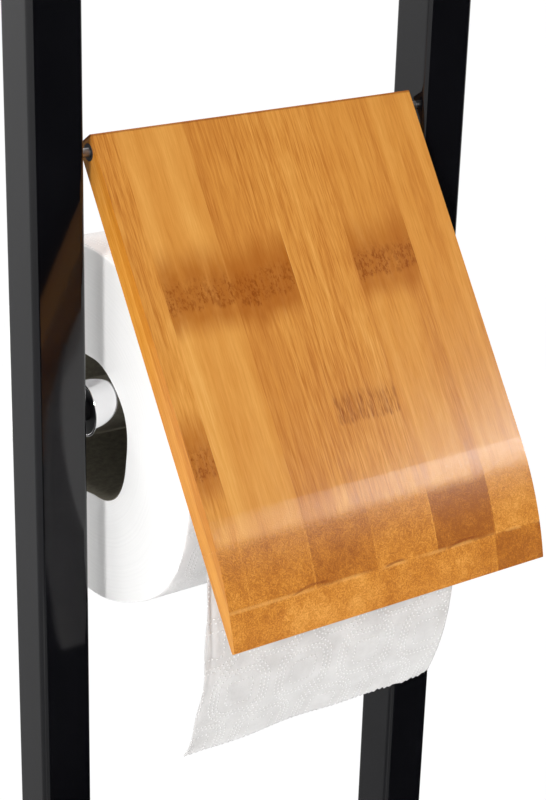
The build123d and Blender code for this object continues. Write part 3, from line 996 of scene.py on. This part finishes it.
def build_dark_card():
    """Black flats at the front right, seen only in reflections, that keep the posts' fronts black."""
    away = Vector((math.sin(DARK_AZIMUTH), -math.cos(DARK_AZIMUTH), 0))
    across = Vector((-away.y, away.x, 0))
    corners = []
    for reach, height in DARK_PROFILE:
        for side in (-1, 1):
            corners.append(away * reach + across * side * DARK_HALF + Vector((0, 0, height)))
    dark = mesh_object("dark_flat", corners, [(0, 1, 3, 2), (2, 3, 5, 4)])
    graph = Graph("dark_flat")
    cloth = graph.noise(graph.place(), scale=400)
    graph.set("Base Color", graph.ramp(cloth, ((0.3, 0.002), (0.7, 0.004))))
    graph.set("Roughness", 1.0)
    graph.set("Specular IOR Level", 0.0)
    dark.data.materials.append(graph.material)
    only_reflected(dark)


def glowing(graph, colour, strength):
    """Makes a material give out light and reflect none."""
    graph.set("Base Color", (0, 0, 0))
    graph.set("Specular IOR Level", 0.0)
    graph.set("Emission Color", colour)
    graph.set("Emission Strength", strength)
    return graph.material


def build_reflected_table():
    """A glowing grey plane seen only in reflections, a painted reflection of a table: dim near the stand
    as painted shade, paler far off.
    """
    table = stage_square("reflected_table", 0.001)
    graph = Graph("reflected_table")
    x, y = graph.split(graph.place())[:2]
    away = graph.length(x, y)
    stops = ((0.1, 0.28), (0.3, 0.45), (0.6, 0.62), (1.0, 0.75))
    glow = graph.ramp(graph.math("DIVIDE", away, 4.0), stops)
    table.data.materials.append(glowing(graph, glow, 1.0))
    only_reflected(table)


def only_reflected(card):
    card.visible_camera = False
    card.visible_diffuse = False
    card.visible_shadow = False
    card.visible_transmission = False


def build_softbox():
    """A narrow softbox at the front right, seen only in reflections, for the gleam on the lid's nose."""
    nose = hinge + Vector((0, -0.08, -0.08))
    toward = Vector((0.68, -0.61, 0.40))
    across = Vector((0.61, 0.68, 0)).normalized() * SOFTBOX_HALF_WIDTH
    rise = toward.cross(across).normalized() * SOFTBOX_HALF_HEIGHT
    centre = nose + toward * SOFTBOX_AWAY + across * SOFTBOX_SHIFT
    box = four_sided("softbox", centre, across, rise)
    graph = Graph("softbox")
    silk = graph.noise(graph.place(), scale=60)
    glow = graph.ramp(silk, ((0.3, (0.80, 0.92, 1.0)), (0.7, (0.86, 0.96, 1.0))))
    box.data.materials.append(glowing(graph, glow, SOFTBOX_GLOW))
    only_reflected(box)


def sun_light(name, toward, strength, softness):
    data = bpy.data.lights.new(name, "SUN")
    data.energy = strength * math.pi
    data.angle = math.radians(softness)
    light = bpy.data.objects.new(name, data)
    bpy.context.scene.collection.objects.link(light)
    light.rotation_euler = Vector(toward).to_track_quat("Z", "Y").to_euler()


def low_fill():
    """A weak light from low in front, under the roll."""
    data = bpy.data.lights.new("low_fill", "AREA")
    data.shape = "RECTANGLE"
    data.size = 0.7
    data.size_y = 0.4
    data.energy = LOW_FILL_POWER
    light = bpy.data.objects.new("low_fill", data)
    bpy.context.scene.collection.objects.link(light)
    light.location = hinge + Vector((0, -0.02, -0.12)) + LOW_FILL_WAY
    light.rotation_euler = (-LOW_FILL_WAY).to_track_quat("-Z", "Y").to_euler()
    light.visible_camera = False


add_camera()
paint = black_paint()
chrome = metal("chrome", (0.88, 0.88, 0.89), 0.035)
zinc = metal("zinc", (0.42, 0.42, 0.43), 0.34, 0.1)
wire = metal("spring_wire", (0.45, 0.45, 0.47), 0.22, 0.05)
nylon = plastic("black_nylon", (0.012, 0.012, 0.013), 0.35)
satin = plastic("satin_plastic", (0.010, 0.010, 0.011), 0.28, grain=1400, depth=0.02)
rubber = plastic("rubber", (0.016, 0.016, 0.016), 0.7, grain=700, depth=0.05)
bristle_nylon = plastic("bristle_nylon", (0.80, 0.80, 0.79), 0.4, grain=500)

dress(paint, "left_post", "right_post", "top_rail", "base_plate", "brush_cup", "brush_grip")
dress(chrome, "roller_outer_sleeve", "roller_inner_sleeve", "brush_rod")
dress(zinc, "post_inserts", "base_screws", "hinge_pins", "pin_nuts", "cup_screw", "cup_nut")
dress(nylon, "left_end_plug", "right_end_plug", "lid_bushes")
dress(satin, "cup_liner", "splash_collar", "grip_cap", "brush_head")
dress(rubber, "rubber_feet")
dress(card(), "card_core")
dress(bamboo(), "lid")

build_roll(tissue("tissue_roll", (0.67, 0.655, 0.65), (0.76, 0.745, 0.74)), tissue_end())
# The sheet's copy of the tissue has darker tones: painted shade from the lid above it
build_sheet(tissue("tissue_sheet_shaded", (0.52, 0.507, 0.497), (0.615, 0.605, 0.595)))
build_spring(wire)
build_bristles(bristle_nylon)
build_floor()
build_world()
build_dark_card()
build_reflected_table()
build_softbox()
sun_light("key", *KEY_SUN)
sun_light("back", *BACK_SUN)
low_fill()
bpy.context.scene.view_settings.view_transform = "Standard"
